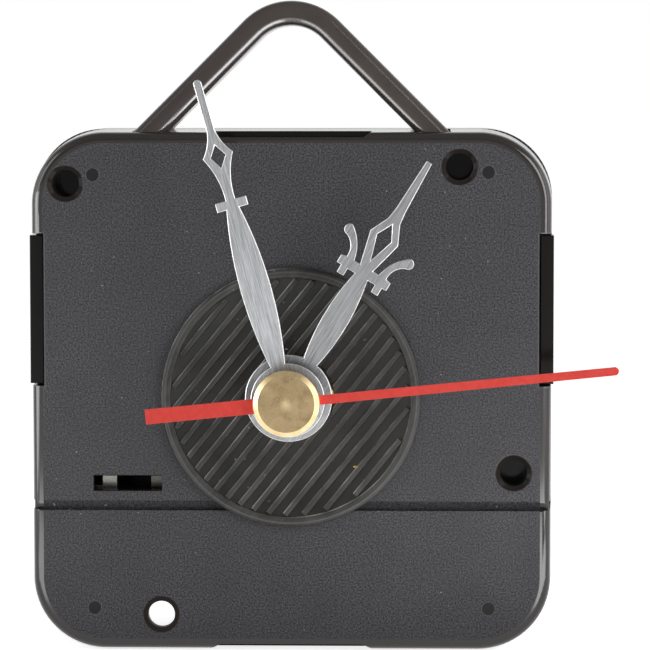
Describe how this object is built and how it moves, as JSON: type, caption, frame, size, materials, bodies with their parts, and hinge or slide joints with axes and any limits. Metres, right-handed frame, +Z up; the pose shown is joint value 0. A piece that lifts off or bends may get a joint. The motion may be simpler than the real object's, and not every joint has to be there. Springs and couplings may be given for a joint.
{
  "type": "quartz clock movement",
  "caption": "Square black quartz clock movement with a hanging loop, threaded bush, ribbed washer, ornate hour and minute hands, red second hand and a setting knob.",
  "frame": {"origin": "where the shaft axis crosses the front face of the case", "axes": "+Z up, +X to the right as seen from the dial side, +Y along the shaft axis from the dial side into the case"},
  "size_m": [0.0628, 0.0312, 0.0704],
  "materials": {
    "case_plastic": "fine texture",
    "rear_plastic": "satin",
    "hanger_plastic": "glossy",
    "turned_brass": "turned",
    "black_rubber": "ribbed",
    "hand_aluminium": "brushed",
    "red_paint": "satin",
    "knob_plastic": "satin",
    "plate_plastic": "satin",
    "wheel_plastic": "satin",
    "board_laminate": "satin",
    "chip_resin": "matt",
    "crystal_can": "satin",
    "soft_iron": "satin",
    "bobbin_plastic": "satin",
    "copper_wire": "enamelled",
    "contact_steel": "nickel plated",
    "magnet": "sintered",
    "arbor_steel": "polished"
  },
  "bodies": {
    "movement": {"front_case": "case_plastic", "rear_case": "rear_plastic", "hanger": "hanger_plastic", "threaded_bush": "turned_brass", "rubber_washer": "black_rubber", "middle_plate": "plate_plastic", "circuit_board": "board_laminate", "chip_cover": "chip_resin", "quartz_crystal": "crystal_can", "stator": "soft_iron", "coil_core": "soft_iron", "coil_bobbin": "bobbin_plastic", "coil_winding": "copper_wire", "negative_contact": "contact_steel", "positive_contact": "contact_steel"},
    "rotor": {"rotor_magnet": "magnet", "rotor_pinion": "wheel_plastic"},
    "intermediate": {"intermediate_wheel": "wheel_plastic"},
    "seconds": {"seconds_wheel": "wheel_plastic", "seconds_arbor": "arbor_steel", "second_hand": "red_paint", "second_hand_cap": "turned_brass"},
    "third": {"third_wheel": "wheel_plastic"},
    "minute_drive": {"minute_drive_wheel": "wheel_plastic"},
    "minutes": {"minute_pipe": "arbor_steel", "minute_hand": "hand_aluminium"},
    "motion": {"motion_wheel": "wheel_plastic"},
    "hours": {"hour_wheel": "wheel_plastic", "hour_hand": "hand_aluminium"},
    "setting": {"setting_knob": "knob_plastic", "setting_stem": "wheel_plastic"}
  },
  "joints": [
    {"name": "seconds_turn", "type": "hinge", "parent": "movement", "child": "seconds", "pos_m": [0, 0, 0], "axis": [0, 1, 0], "continuous": true},
    {"name": "intermediate_turn", "type": "hinge", "parent": "movement", "child": "intermediate", "pos_m": [-0.00388, 0, 0.00731], "axis": [0, 1, 0], "continuous": true},
    {"name": "rotor_turn", "type": "hinge", "parent": "movement", "child": "rotor", "pos_m": [-0.001, 0, 0.01229], "axis": [0, 1, 0], "continuous": true},
    {"name": "third_turn", "type": "hinge", "parent": "movement", "child": "third", "pos_m": [-0.00816, 0, 0], "axis": [0, 1, 0], "continuous": true},
    {"name": "minute_drive_turn", "type": "hinge", "parent": "movement", "child": "minute_drive", "pos_m": [0, 0, 0], "axis": [0, 1, 0], "continuous": true},
    {"name": "minutes_turn", "type": "hinge", "parent": "movement", "child": "minutes", "pos_m": [0, 0, 0], "axis": [0, 1, 0], "continuous": true},
    {"name": "motion_turn", "type": "hinge", "parent": "movement", "child": "motion", "pos_m": [0.00856, 0, 0.00151], "axis": [0, 1, 0], "continuous": true},
    {"name": "hours_turn", "type": "hinge", "parent": "movement", "child": "hours", "pos_m": [0, 0, 0], "axis": [0, 1, 0], "continuous": true},
    {"name": "setting_turn", "type": "hinge", "parent": "movement", "child": "setting", "pos_m": [0.01711, 0, 0.00302], "axis": [0, 1, 0], "continuous": true}
  ],
  "couplings": [
    {"joint": "intermediate_turn", "follows": "seconds_turn", "ratio": -6},
    {"joint": "rotor_turn", "follows": "seconds_turn", "ratio": 30},
    {"joint": "third_turn", "follows": "seconds_turn", "ratio": -0.13333},
    {"joint": "minute_drive_turn", "follows": "seconds_turn", "ratio": 0.016667},
    {"joint": "motion_turn", "follows": "minutes_turn", "ratio": -0.33333},
    {"joint": "hours_turn", "follows": "minutes_turn", "ratio": 0.083333},
    {"joint": "setting_turn", "follows": "minutes_turn", "ratio": 1}
  ]
}
